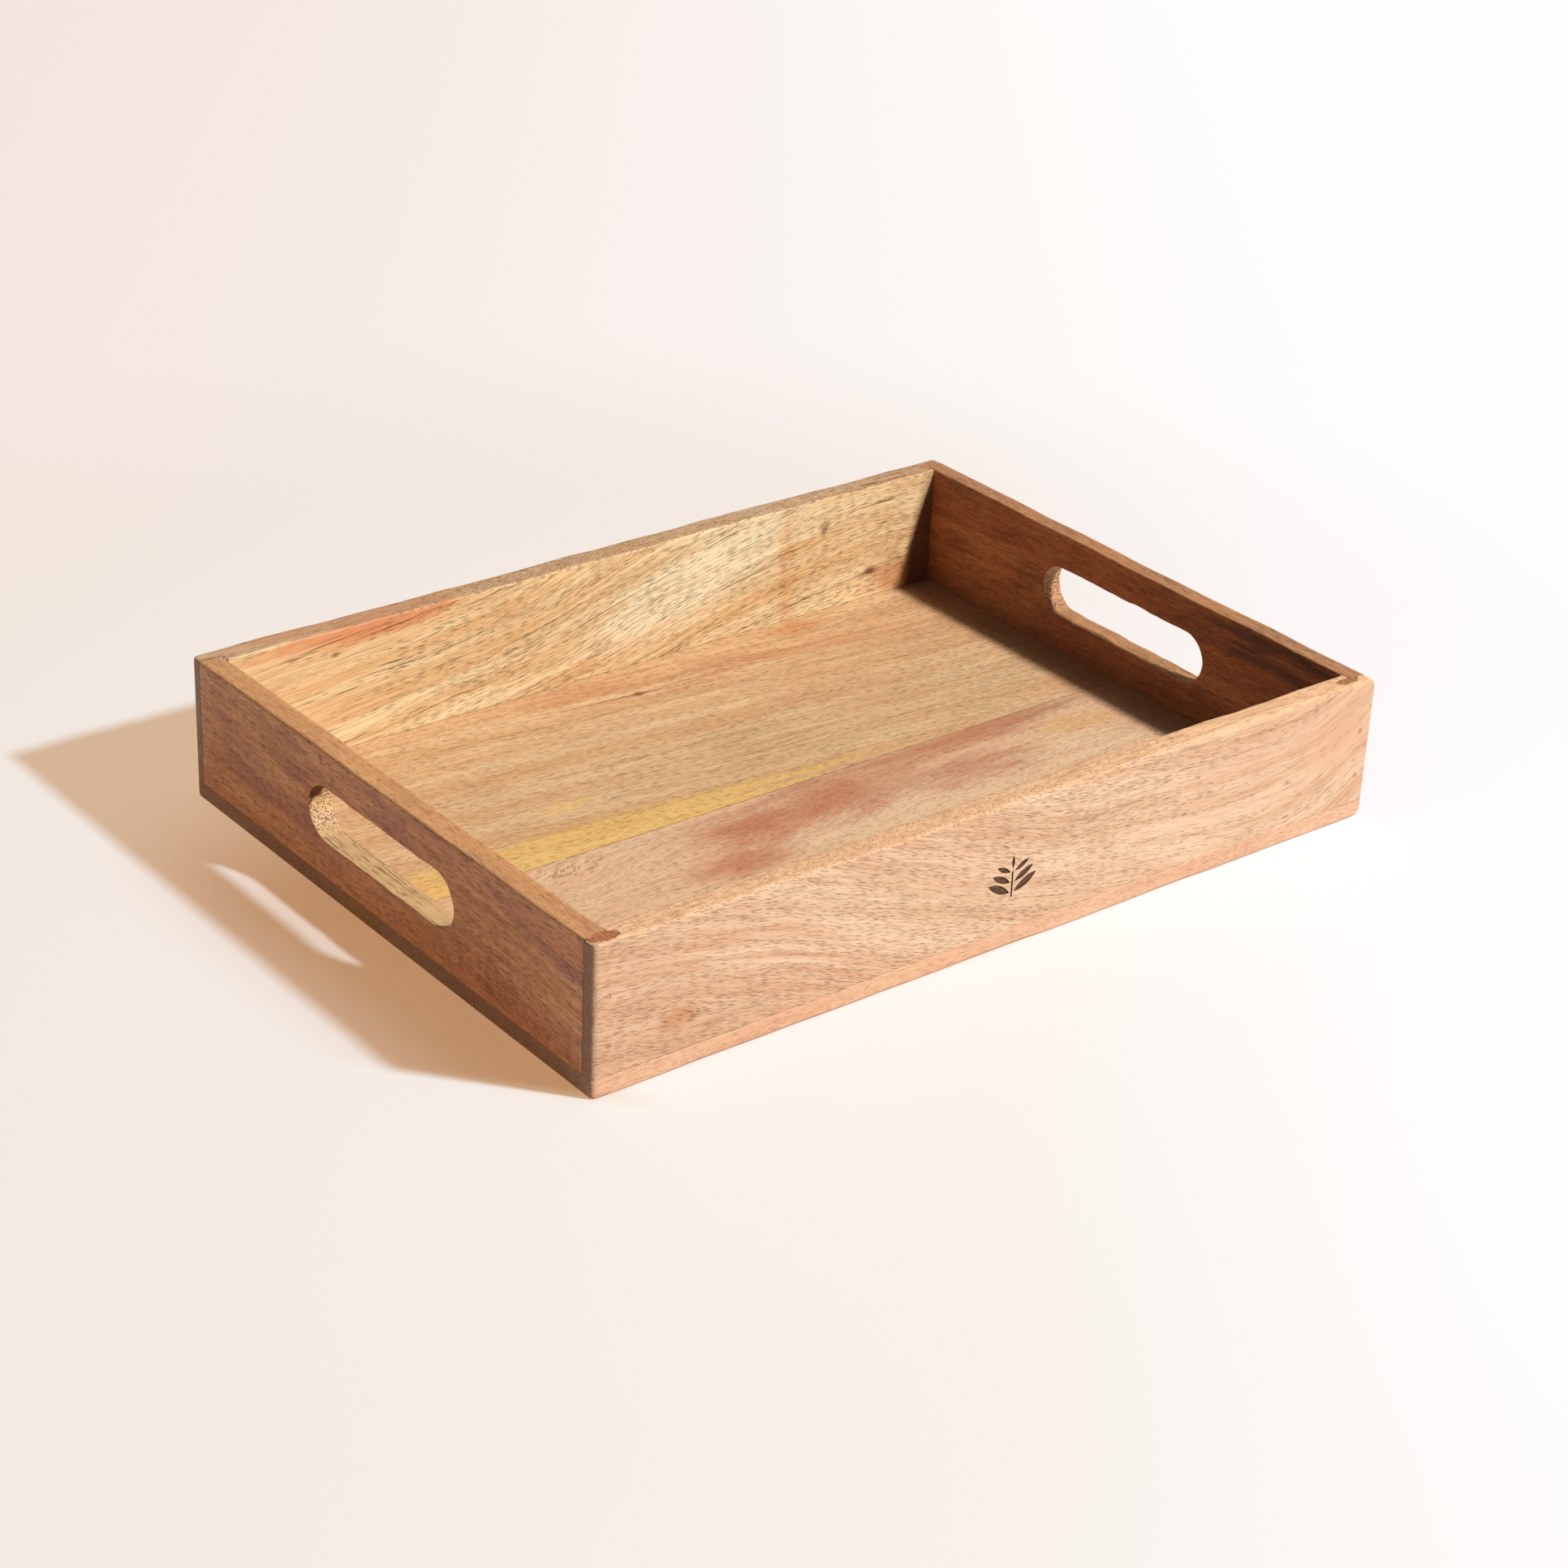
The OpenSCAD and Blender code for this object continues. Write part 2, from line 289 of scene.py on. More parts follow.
def end_board(name, side, seed):
    """An end board as a closed ring of cross-sections round its hand slot."""
    outer, slot, normals, shares = slot_and_edge_loops()
    half_y = HALF_W - LIP_T
    slot = slot + normals * wave(shares, seed, 0.09, 0.22 * MM)[:, None]
    top_wave = wave(outer[:, 0], seed + 1, 0.10, 0.25 * MM)
    top_share = (outer[:, 1] - BASE_T) / (TRAY_H - BASE_T)
    outer = outer + np.column_stack([np.zeros(len(outer)), top_wave * top_share])
    outer_x, inner_x = HALF_L, HALF_L - END_T

    def edge_loop(inset_top, inset_joint):
        """The outline, moved in by one amount at the top and another at the glued sides."""
        y = np.clip(outer[:, 0], -half_y + inset_joint, half_y - inset_joint)
        z = np.maximum(outer[:, 1], BASE_T + inset_joint)
        high = np.where(outer[:, 1] > SLOT_Z, outer[:, 1] - inset_top * top_share, outer[:, 1])
        return np.column_stack([y, np.maximum(np.minimum(z, high), BASE_T + inset_joint)])

    def slot_loop(outset):
        return slot + normals * outset

    def layer(x, loop):
        return [(side * x, y, z) for y, z in loop]

    def quarter(count):
        """Steps of a quarter turn: the shares of the radius still to go, and already gone."""
        angles = np.radians(np.linspace(0, 90, count))
        return list(zip(1 - np.sin(angles), 1 - np.cos(angles)))

    ease, inner_r = SLOT_EDGE_R, INNER_EDGE_R
    outer_r = RIGHT_TOP_R if side > 0 else TOP_EDGE_R
    face_out, face_in = edge_loop(outer_r, JOINT_BEVEL), edge_loop(inner_r, JOINT_BEVEL)
    rim = slot_loop(ease)
    across_face = np.arange(1, 12) / 12
    between = np.linspace(outer_x - 1.2 * outer_r, inner_x + 2 * inner_r, 3)
    # The slot's wall, its eased rim, the outer face, the outline, the inner face and back to the slot
    loops = [layer(x, slot_loop(0)) for x in np.linspace(inner_x + ease, outer_x - ease, 6)]
    loops += [layer(outer_x - ease * to_go, slot_loop(ease * gone)) for to_go, gone in quarter(6)[1:]]
    loops += [layer(outer_x, rim + (face_out - rim) * s) for s in across_face]
    for to_go, gone in quarter(10):
        loops.append(layer(outer_x - outer_r * gone, edge_loop(outer_r * to_go, JOINT_BEVEL * to_go)))
    loops += [layer(x, edge_loop(0, 0)) for x in between]
    for to_go, gone in quarter(6):
        loops.append(layer(inner_x + inner_r * to_go, edge_loop(inner_r * gone, JOINT_BEVEL * gone)))
    loops += [layer(inner_x, face_in + (rim - face_in) * s) for s in across_face]
    loops += [layer(inner_x + ease * gone, slot_loop(ease * to_go)) for to_go, gone in quarter(6)[:-1]]
    return sweep(name, loops, looped=True)


# ---------------------------------------------------------------- holes, filler and the sprig
def lathe(profile, place, turn, count=20):
    """A closed solid turned round the local Z axis from (radius, height) points, as a cutter."""
    rings = [
        [(r * math.cos(a), r * math.sin(a), z) for a in np.linspace(0, 2 * math.pi, count, endpoint=False)]
        for r, z in profile
    ]
    piece = sweep("cutter", rings)
    piece.data.transform(Matrix.Translation(place) @ turn)
    return piece


def brads(name, places, length):
    """A set of brads as one object of separate solids, each with an eased head and a short point."""
    ease = 0.15 * MM
    profile = [
        (0.1 * MM, -length),
        (BRAD_R, -length + 2.4 * MM),
        (BRAD_R, -BRAD_HEAD_T),
        (BRAD_HEAD_R - ease, -BRAD_HEAD_T),
        (BRAD_HEAD_R, -BRAD_HEAD_T + ease),
        (BRAD_HEAD_R, -ease),
        (BRAD_HEAD_R - ease, -ease * 0.3),
        (BRAD_HEAD_R * 0.5, 0),
    ]
    vertices, faces = [], []
    for place, turn in places:
        single = lathe(profile, place, turn, count=24)
        faces += [tuple(i + len(vertices) for i in face.vertices) for face in single.data.polygons]
        vertices += [vertex.co.copy() for vertex in single.data.vertices]
        bpy.data.objects.remove(single)
    return new_object(name, vertices, faces)


def brad_hole(place, turn, length, mouth):
    """The hole of one sunk brad. Local Z points out of the wood, and the head's top is at z = 0."""
    gap = 0.02 * MM
    profile = [
        (BRAD_R + gap, -length - gap),
        (BRAD_R + gap, -BRAD_HEAD_T - gap),
        (BRAD_HEAD_R + gap, -BRAD_HEAD_T - gap),
        (BRAD_HEAD_R + gap, mouth),
    ]
    return lathe(profile, place, turn)


def corner_brad_places(side_y):
    """Head places of the brads through a rail's lips, and the turn that points Z out of the rail."""
    turn = Matrix.Rotation(math.radians(-90 * side_y), 4, "X")
    y = side_y * (HALF_W - CORNER_SINK)
    end_x = HALF_L - BRAD_INSET
    return [(Vector((x, y, z)), turn) for x in (-end_x, end_x) for z in BRAD_HEIGHTS]


def height_above(place, normal, boards):
    """How far along normal the boards' surface lies above a place, looking from outside."""
    reach = 4 * MM
    rays = [board.ray_cast(place + normal * reach, -normal, distance=2 * reach) for board in boards]
    return max(((point - place).dot(normal) for hit, point, _, _ in rays if hit), default=0.0)


def plug_outline(size, square, seed):
    """An uneven closed outline: an ellipse that gets squarer as square falls below 1."""
    rng = np.random.default_rng(seed)
    bumps = rng.uniform(-1, 1, 5) * 0.05
    phases = rng.uniform(0, 2 * math.pi, 5)
    outline = []
    for a in np.linspace(0, 2 * math.pi, 44, endpoint=False):
        uneven = 1 + sum(b * math.sin((k + 2) * a + p) for k, (b, p) in enumerate(zip(bumps, phases)))
        x = math.copysign(abs(math.cos(a)) ** square, math.cos(a)) * size[0] / 2
        y = math.copysign(abs(math.sin(a)) ** square, math.sin(a)) * size[1] / 2
        outline.append((x * uneven, y * uneven))
    return outline


def plug(name, place, normal, size, depth, boards, seed, square=1.0, dish=0.0):
    """Filler in a shallow pocket, level with the boards around it, and the cutter for its pocket."""
    across = Vector((1, 0, 0))
    other = normal.cross(across)
    outline = plug_outline(size, square, seed)
    rim = (1.0, 0.12 * MM), (0.985, 0.02 * MM)
    top = [(share, 0) for share in (0.8, 0.55, 0.3, 0.08)]
    rings = []
    for share, sink in ((1.0, depth), *rim, *top):
        ring = []
        for u, v in outline:
            spot = place + across * (u * share) + other * (v * share)
            level = height_above(spot, normal, boards) if sink < depth else 0.0
            ring.append(spot + normal * (level - sink - dish * (1 - share**2)))
        rings.append(ring)
    over = 2 * MM
    walls = [[place + across * u + other * v + normal * z for u, v in outline] for z in (-depth, over)]
    return sweep(name, rings), sweep("cutter", walls)


def boundary_loops(bm):
    """The open edges of a mesh, as loops of vertex places."""
    after = {}
    for face in bm.faces:
        for loop in face.loops:
            if loop.edge.is_boundary:
                after[loop.vert.index] = loop.link_loop_next.vert.index
    bm.verts.ensure_lookup_table()
    loops = []
    while after:
        start, here = after.popitem()
        loop = [start]
        while here != start:
            loop.append(here)
            here = after.pop(here)
        loops.append([bm.verts[i].co.copy() for i in loop])
    return loops


def sprig_cutters():
    """The engraved sprig: each part of its floor in the CAD rail, drawn out through the face as a prism."""
    cad = frame["nodes"]["front_rail"]
    bm = bmesh.new()
    bm.from_mesh(cad.data)
    bm.transform(cad.matrix_world)
    bmesh.ops.remove_doubles(bm, verts=bm.verts, dist=1e-6)
    level = SPRIG_DEPTH - HALF_W
    away = [f for f in bm.faces if f.normal.y > -0.9 or abs(f.calc_center_median().y - level) > 0.02 * MM]
    bmesh.ops.delete(bm, geom=away, context="FACES")
    bm.verts.index_update()
    out = Vector((0, -2 * MM, 0))
    cutters = [sweep("cutter", [loop, [place + out for place in loop]]) for loop in boundary_loops(bm)]
    bm.free()
    return cutters


# ---------------------------------------------------------------- camera, floor and light
CAMERA_AIM = Vector((-26.7, -32.5, 31.5)) * MM
CAMERA_DISTANCE = 1.3964
AZIMUTH, ELEVATION, ROLL = map(math.radians, (-39.008, 27.446, 2.522))
CAMERA_LENS = 80.66
LAMP_PLACE = Vector((0.53, -1.0, 1.02))
LAMP_SIZE = 0.11
LAMP_POWER = 13.0
SKY_STRENGTH = 0.22

# Sky, floor and backdrop colours are linear light
SKY_COLOUR = (1.0, 0.84, 0.70, 1)
FLOOR_COLOUR = (0.30, 0.48, 0.62, 1)
# The floor glows, which paints light into its shadows; beside the tray's shaded side a weaker glow and a
# warmer colour paint the shadow deeper
FLOOR_COLOUR_IN_PAINTED_SHADOW = (0.36, 0.42, 0.48, 1)
FLOOR_GLOW = (0.60, 0.37, 0.22, 1)
FLOOR_GLOW_IN_PAINTED_SHADOW = (0.43, 0.21, 0.085, 1)
FLOOR_GLOW_RIGHT = (0.63, 0.43, 0.33, 1)
BACKDROP_LEFT = (0.90, 0.79, 0.73, 1)
BACKDROP_MIDDLE = (0.94, 0.89, 0.85, 1)
BACKDROP_RIGHT = (1.0, 0.99, 0.985, 1)


def make_camera():
    """The camera looks at the tray from its front left, turned a little about its own axis."""
    reach = math.cos(ELEVATION)
    back = Vector((math.sin(AZIMUTH) * reach, -math.cos(AZIMUTH) * reach, math.sin(ELEVATION)))
    level = Vector((math.cos(AZIMUTH), math.sin(AZIMUTH), 0))
    upright = back.cross(level)
    right = level * math.cos(ROLL) + upright * math.sin(ROLL)
    up = back.cross(right)
    camera = bpy.data.objects.new("camera", bpy.data.cameras.new("camera"))
    camera.data.lens = CAMERA_LENS
    camera.data.sensor_width = 36
    camera.data.clip_start = 0.02
    camera.data.clip_end = 50
    turn = Matrix((right, up, back)).transposed().to_4x4()
    camera.matrix_world = Matrix.Translation(CAMERA_AIM + back * CAMERA_DISTANCE) @ turn
    bpy.context.scene.collection.objects.link(camera)
    bpy.context.scene.camera = camera


def make_lamp():
    """One small bright lamp, high in front on the right. Like low sun, it does not fade with distance."""
    data = bpy.data.lights.new("key_lamp", "AREA")
    data.shape = "DISK"
    data.size = LAMP_SIZE
    data.energy = LAMP_POWER
    data.color = (1.0, 0.955, 0.90)
    data.use_nodes = True
    nodes = data.node_tree.nodes
    falloff = nodes.new("ShaderNodeLightFalloff")
    falloff.inputs["Strength"].default_value = 1.0
    data.node_tree.links.new(falloff.outputs["Constant"], nodes["Emission"].inputs["Strength"])
    lamp = bpy.data.objects.new("key_lamp", data)
    lamp.location = LAMP_PLACE
    lamp.rotation_euler = (-LAMP_PLACE).to_track_quat("-Z", "Y").to_euler()
    bpy.context.scene.collection.objects.link(lamp)


def make_world():
    """A warm dim sky, which the camera sees as a pale backdrop."""
    world = bpy.data.worlds.new("studio")
    bpy.context.scene.world = world
    world.use_nodes = True
    sky = Wiring(world.node_tree)
    to_camera = sky.add("ShaderNodeLightPath").outputs["Is Camera Ray"]
    fill = sky.add("ShaderNodeBackground", {"Color": SKY_COLOUR, "Strength": SKY_STRENGTH}).outputs[0]
    seen = sky.add("ShaderNodeBackground", {"Color": BACKDROP_MIDDLE}).outputs[0]
    mixed = sky.add("ShaderNodeMixShader", {0: to_camera, 1: fill, 2: seen}).outputs[0]
    sky.add("ShaderNodeOutputWorld", {"Surface": mixed})


def make_floor():
    """A pale floor that glows, which paints its shadows near the tray lighter and warmer, and turns into an
    even backdrop further out.
    """
    half = 8.0
    corners = [(-half, -half, 0), (half, -half, 0), (half, half, 0), (-half, half, 0)]
    floor = new_object("floor", corners, [(0, 1, 2, 3)])
    look = Look("pale_floor")
    place = look.add("ShaderNodeTexCoord").outputs["Object"]
    centre = (-0.1, 0, 0)
    away = look.add("ShaderNodeVectorMath", {0: place, 1: centre}, operation="DISTANCE").outputs["Value"]
    spread = look.step(away, 0.34, 0.64)
    x, y, _ = look.add("ShaderNodeSeparateXYZ", {0: place}).outputs
    rightward = look.scaled(x, 0.79, look.times(y, -0.61))
    far_colour = look.blend(look.step(rightward, -0.55, 0.45), BACKDROP_LEFT, BACKDROP_RIGHT)
    far_colour = look.blend(look.step(away, 3.0, 6.0), far_colour, BACKDROP_MIDDLE)
    far = look.add("ShaderNodeEmission", {"Color": far_colour}).outputs[0]
    look.shader.inputs["Roughness"].default_value = 0.9
    look.shader.inputs["Specular IOR Level"].default_value = 0.0
    # Painted shadow: close to the tray on the shaded side the floor glows less and its colour is warmer, so
    # the shadow there is painted deeper and warmer
    beside = look.times(look.step(x, -0.27, -0.21), look.step(x, -0.17, -0.20))
    # The shadow's front edge runs from the front left corner, away from the lamp
    slope = (LAMP_PLACE.y + HALF_W) / (LAMP_PLACE.x + HALF_L)
    past_edge = look.math("SUBTRACT", look.plus(y, HALF_W), look.times(look.plus(x, HALF_L), slope))
    beside = look.times(beside, look.times(look.step(past_edge, -0.004, 0.012), look.step(y, 0.15, 0.03)))
    look.put(look.shader.inputs["Base Color"], look.blend(beside, FLOOR_COLOUR, FLOOR_COLOUR_IN_PAINTED_SHADOW))
    glow = look.blend(look.step(rightward, 0.05, 0.28), FLOOR_GLOW, FLOOR_GLOW_RIGHT)
    look.put(look.shader.inputs["Emission Color"], look.blend(beside, glow, FLOOR_GLOW_IN_PAINTED_SHADOW))
    look.shader.inputs["Emission Strength"].default_value = 1.0
    mixed = look.add("ShaderNodeMixShader", {0: spread, 1: look.shader.outputs[0], 2: far}).outputs[0]
    look.put(look.output.inputs["Surface"], mixed)
    floor.data.materials.append(look.material)


# ---------------------------------------------------------------- materials
def srgb(red, green, blue, level=1.0):
    """A colour given in 0-255 display values, as linear light, dimmed by level."""
    values = [v / 255 for v in (red, green, blue)]
    linear = [v / 12.92 if v <= 0.04045 else ((v + 0.055) / 1.055) ** 2.4 for v in values]
    return tuple(v * level for v in linear) + (1.0,)


# How much darker a wood's own colour is than it shows in the lamp's light
WOOD_LEVEL = 0.78


def shade(red, green, blue, level=WOOD_LEVEL):
    """The wood's own colour, from the display values that it shows in full light."""
    return srgb(red, green, blue, level)


class Wiring:
    """A node tree being built, with short names for what the materials share."""

    def __init__(self, tree):
        self.tree = tree
        tree.nodes.clear()

    def put(self, socket, value):
        if isinstance(value, bpy.types.NodeSocket):
            self.tree.links.new(value, socket)
        else:
            socket.default_value = value

    def add(self, kind, inputs=None, **settings):
        node = self.tree.nodes.new(kind)
        for key, value in settings.items():
            setattr(node, key, value)
        for key, value in (inputs or {}).items():
            self.put(node.inputs[key], value)
        return node

    def math(self, operation, *values):
        return self.add("ShaderNodeMath", dict(enumerate(values)), operation=operation).outputs[0]

    def plus(self, a, b):
        return self.math("ADD", a, b)

    def times(self, a, b):
        return self.math("MULTIPLY", a, b)

    def scaled(self, value, factor, offset):
        return self.math("MULTIPLY_ADD", value, factor, offset)

    def vector(self, x, y, z):
        return self.add("ShaderNodeCombineXYZ", {0: x, 1: y, 2: z}).outputs[0]

    def step(self, value, low, high):
        """0 at low, 1 at high, smooth between. low may be above high."""
        inputs = {"Value": value, "From Min": low, "From Max": high}
        return self.add("ShaderNodeMapRange", inputs, interpolation_type="SMOOTHSTEP").outputs["Result"]

    def noise(self, vector, detail=2.0, roughness=0.5):
        inputs = {"Vector": vector, "Scale": 1.0, "Detail": detail, "Roughness": roughness}
        return self.add("ShaderNodeTexNoise", inputs).outputs[0]

    def cells(self, vector):
        return self.add("ShaderNodeTexVoronoi", {"Vector": vector, "Scale": 1.0}).outputs

    def blend(self, share, a, b):
        node = self.add("ShaderNodeMix", data_type="RGBA", blend_type="MIX")
        self.put(node.inputs[0], share)
        self.put(node.inputs[6], a)
        self.put(node.inputs[7], b)
        return node.outputs[2]


class Look(Wiring):
    """A material with one principled shader."""

    def __init__(self, name):
        self.material = bpy.data.materials.new(name)
        self.material.use_nodes = True
        super().__init__(self.material.node_tree)
        self.shader = self.add("ShaderNodeBsdfPrincipled")
        self.output = self.add("ShaderNodeOutputMaterial", {"Surface": self.shader.outputs[0]})


class Wood(Look):
    """Mango wood for one board, built up in steps: grain, growth bands, stains, pores, cut ends.

    along and across name the frame axes that the grain follows and crosses. The grain's path across the
    board is slope * s plus S-curves of (rise, centre, width), bent further by a slow noise of warp_mm.
    """

    def __init__(self, name, along, across, tones, seed, slope=0.0, curves_mm=(), warp_mm=9.0):
        super().__init__(name)
        self.along, self.tones, self.seed = along, tones, seed
        depth = next(axis for axis in "XYZ" if axis not in (along, across))
        coords = self.add("ShaderNodeTexCoord")
        inputs = {0: coords.outputs["Object"], "Scale": 1000}
        in_mm = self.add("ShaderNodeVectorMath", inputs, operation="SCALE").outputs[0]
        place = self.add("ShaderNodeSeparateXYZ", {0: in_mm}).outputs
        self.facing = self.add("ShaderNodeSeparateXYZ", {0: coords.outputs["Normal"]}).outputs
        self.s, self.v, self.w = place[along], place[across], place[depth]
        slow = self.scaled(self.s, 1 / 95, seed)
        warp = self.noise(self.vector(slow, self.times(self.v, 1 / 42), self.times(self.w, 1 / 60)), 1.0)
        bent = self.scaled(self.math("SUBTRACT", warp, 0.5), warp_mm, self.v)
        self.bent = self.scaled(self.s, -slope, bent)
        for rise, centre, width in curves_mm:
            turn = self.math("TANH", self.times(self.math("SUBTRACT", self.s, centre), 1 / width))
            self.bent = self.scaled(turn, -rise, self.bent)
        self.sunk = self.scaled(warp, warp_mm * 0.4, self.w)

    def grain(self, length_mm, gap_mm, shift=0):
        """Texture space in which one unit is length_mm along the grain and gap_mm across it."""
        return self.vector(
            self.scaled(self.s, 1 / length_mm, self.seed + shift),
            self.times(self.bent, 1 / gap_mm),
            self.times(self.sunk, 1 / gap_mm),
        )

    def local(self, at, size, tilt=0.0):
        """Place and distance in an ellipse: at and size are (along, across) in mm, and tilt slopes it."""
        ds = self.math("SUBTRACT", self.s, at[0])
        dv = self.scaled(ds, -tilt, self.math("SUBTRACT", self.v, at[1]))
        ds, dv = self.times(ds, 1 / size[0]), self.times(dv, 1 / size[1])
        return ds, dv, self.math("SQRT", self.plus(self.times(ds, ds), self.times(dv, dv)))

    def tint(self, share, colour, strength=1.0):
        """Blends in a colour: a socket, or display values as shade() takes them."""
        if not isinstance(colour, bpy.types.NodeSocket):
            colour = shade(*colour)
        self.colour = self.blend(self.times(share, strength), self.colour, colour)

    def swirl(self, at, size, lift_mm):
        """Parts the grain round a knot. Comes before the steps that draw the grain."""
        _, dv, away = self.local(at, size)
        push = self.times(dv, self.math("EXPONENT", self.times(self.times(away, away), -1.0)))
        self.bent = self.scaled(push, -lift_mm, self.bent)

    def bands(self, gap_mm, dark=0.5, fine=0.3):
        """Growth bands, darker and paler lines among them, rosy clouds and fine fibres."""
        tones = self.tones
        wide = self.noise(self.grain(240, gap_mm), 2.0, 0.55)
        self.colour = self.blend(self.step(wide, 0.38, 0.62), shade(*tones["light"]), shade(*tones["mid"]))
        cloud = self.noise(self.grain(60, 30, 13), 2.0, 0.5)
        self.tint(self.step(cloud, 0.45, 0.70), tones["rosy"], 0.35)
        lines = self.noise(self.grain(90, gap_mm * 0.2, 5), 3.0, 0.65)
        self.tint(self.step(lines, 0.50, 0.72), tones["dark"], dark)
        pale = self.noise(self.grain(70, gap_mm * 0.3, 17), 2.0, 0.6)
        self.tint(self.step(pale, 0.52, 0.72), tones["light"], 0.6)
        self.fibres = self.noise(self.grain(9, 0.34, 9), 3.0, 0.75)
        self.tint(self.step(self.fibres, 0.44, 0.68), tones["dark"], fine)
        ticks = self.noise(self.grain(9, 0.8, 23), 2.0, 0.6)
        self.tint(self.step(ticks, 0.53, 0.64), tones["dark"], fine)
        self.tint(self.step(ticks, 0.46, 0.36), tones["light"], fine)

    def hairlines(self, gap_mm, strength, length_mm):
        """Long thin dark lines, in loose bundles."""
        bundle = self.step(self.noise(self.grain(150, gap_mm * 8, 61), 1.0), 0.40, 0.60)
        thread = self.noise(self.grain(length_mm, gap_mm, 51), 3.0, 0.7)
        self.tint(self.times(self.step(thread, 0.58, 0.65), bundle), self.tones["pore"], strength)

    def pores(self, length_mm, gap_mm, strength, fade=None):
        """Short dark dashes along the grain, crowded in some bands. fade thins them out between two s."""
        crowd = self.step(self.noise(self.grain(110, gap_mm * 9, 31), 2.0), 0.30, 0.62)
        if fade:
            crowd = self.math("SUBTRACT", crowd, self.step(self.s, *fade))
        chance = self.scaled(crowd, 0.525, 0.315)
        marks = None
        for shift in (0.0, 3.7, 8.1):
            cells = self.cells(self.grain(length_mm, gap_mm, shift))
            pick = self.add("ShaderNodeSeparateColor", {0: cells["Color"]}).outputs[0]
            shown = self.math("LESS_THAN", pick, chance)
            layer = self.times(self.step(cells["Distance"], 0.33, 0.17), shown)
            marks = layer if marks is None else self.math("MAXIMUM", marks, layer)
        self.marks = marks
        self.tint(marks, self.tones["pore"], strength)

    def stain(self, at, size, colour, strength, tilt=0.0, ragged=0.9, seed=0, soft=0.75):
        """A soft stain with an uneven edge, placed as in local()."""
        _, _, away = self.local(at, size, tilt)
        edge = self.noise(self.grain(size[0] * 0.8, size[1] * 0.5, seed), 5.0, 0.68)
        away = self.scaled(self.math("SUBTRACT", edge, 0.5), ragged * 2, away)
        self.tint(self.step(away, 1.0, 1.0 - soft), colour, strength)

    def streaks(self, at, size, colour, gap_mm, strength, tilt=0.0, seed=0):
        """Streaks of another colour along the grain, placed as in local()."""
        _, _, away = self.local(at, size, tilt)
        thread = self.noise(self.grain(60, gap_mm, 40 + seed), 3.0, 0.65)
        share = self.times(self.step(away, 1.1, 0.5), self.step(thread, 0.42, 0.60))
        self.tint(share, colour, strength)

    def blotches(self, length_mm, gap_mm, colour, strength, shift=0):
        """Soft clouds of another colour all over the board, drawn out along the grain."""
        cloud = self.noise(self.grain(length_mm, gap_mm, 70 + shift), 3.0, 0.6)
        self.tint(self.step(cloud, 0.46, 0.66), colour, strength)

    def on_faces(self, axis, low, high, colour, strength):
        """Another colour on the faces whose normal, along one axis, lies between low and high."""
        self.tint(self.step(self.facing[axis], low, high), colour, strength)

    def rail_top(self, colour, strength):
        """The top edge of a rail in a lighter colour, partly the wood's own tone and partly painted light,
        with long darker lines. Comes before the pores.
        """
        top = self.step(self.facing["Z"], 0.7, 0.95)
        self.tint(top, colour, strength)
        lines = self.step(self.noise(self.grain(46, 1.2, 87), 3.0, 0.65), 0.46, 0.60)
        self.tint(self.times(top, lines), self.tones["dark"], 0.4)

    def on_top(self, colour, strength):
        """The sanded top edge of an end board, where the deeper fibres stay dark."""
        top = self.times(self.step(self.facing["Z"], 0.4, 0.8), self.step(self.v, 55, 57))
        self.tint(self.times(top, self.step(self.fibres, 0.68, 0.38)), colour, strength)

    def in_slot(self, colour, strength):
        """The walls of the hand slot: pale cut wood with dark pores, speckled at the round ends."""
        sideways = self.math("ABSOLUTE", self.facing["X"])
        walls = self.times(self.step(sideways, 0.8, 0.3), self.step(self.v, 57, 55))
        self.tint(walls, colour, strength)
        place = self.vector(*(self.times(part, 1 / 0.9) for part in (self.s, self.v, self.w)))
        specks = self.step(self.cells(place)["Distance"], 0.50, 0.28)
        back_end = self.times(walls, self.step(self.facing["Y"], -0.3, -0.7))
        self.tint(self.times(back_end, specks), self.tones["pore"], 0.85)
        lines = self.step(self.noise(self.grain(46, 0.7, 77), 3.0, 0.65), 0.52, 0.62)
        lower = self.times(walls, self.step(self.facing["Z"], 0.4, 0.8))
        self.tint(self.times(lower, lines), self.tones["pore"], 0.6)
        return walls

    def lip_seams(self, side):
        """The glue lines where a rail's lips pass the end boards. side is the rail's Y sign."""
        for end in (-1, 1):
            self.seam(self.w, side * LIP_MM, 0.3, seed=5, span=(end * 185, end * 183.5))

    def plank_edges_and_painted_shade(self, side):
        """A base plank's rosy edge, a painted contact shade along its rounded bottom edge, a painted shadow
        of the right end board across its right end, and its glue line. side is its Y sign.
        """
        up = self.facing["Z"]
        self.on_faces("Y", side * 0.5, side * 0.9, (232, 162, 130), 0.42)
        # Painted contact shade where the rounded bottom edge meets the floor
        painted_contact_shade = self.times(self.step(up, -0.2, -0.5), self.step(up, -0.99, -0.92))
        self.tint(painted_contact_shade, (170, 108, 82), 0.7)
        # Painted shadow that the right end board casts on the plank's top near its right end
        painted_wall_shadow = self.times(self.step(self.s, 156, 176), self.step(up, 0.5, 0.9))
        self.tint(painted_wall_shadow, (116, 68, 48), 0.72)
        self.seam(self.v, 0, 0.35)

    def rings(self, at, size, colour, count, strength):
        """Thin uneven rings round a hidden knot, placed as in local()."""
        ds, dv, away = self.local(at, size)
        uneven = self.noise(self.vector(ds, dv, 0.0), 3.0, 0.55)
        turn = self.times(self.scaled(uneven, 1.1, away), count * 2 * math.pi)
        broken = self.step(self.noise(self.vector(dv, ds, 0.0), 2.0), 0.38, 0.58)
        share = self.times(self.step(self.math("SINE", turn), 0.35, 0.95), self.step(away, 1.15, 0.7))
        self.tint(self.times(share, broken), colour, strength)

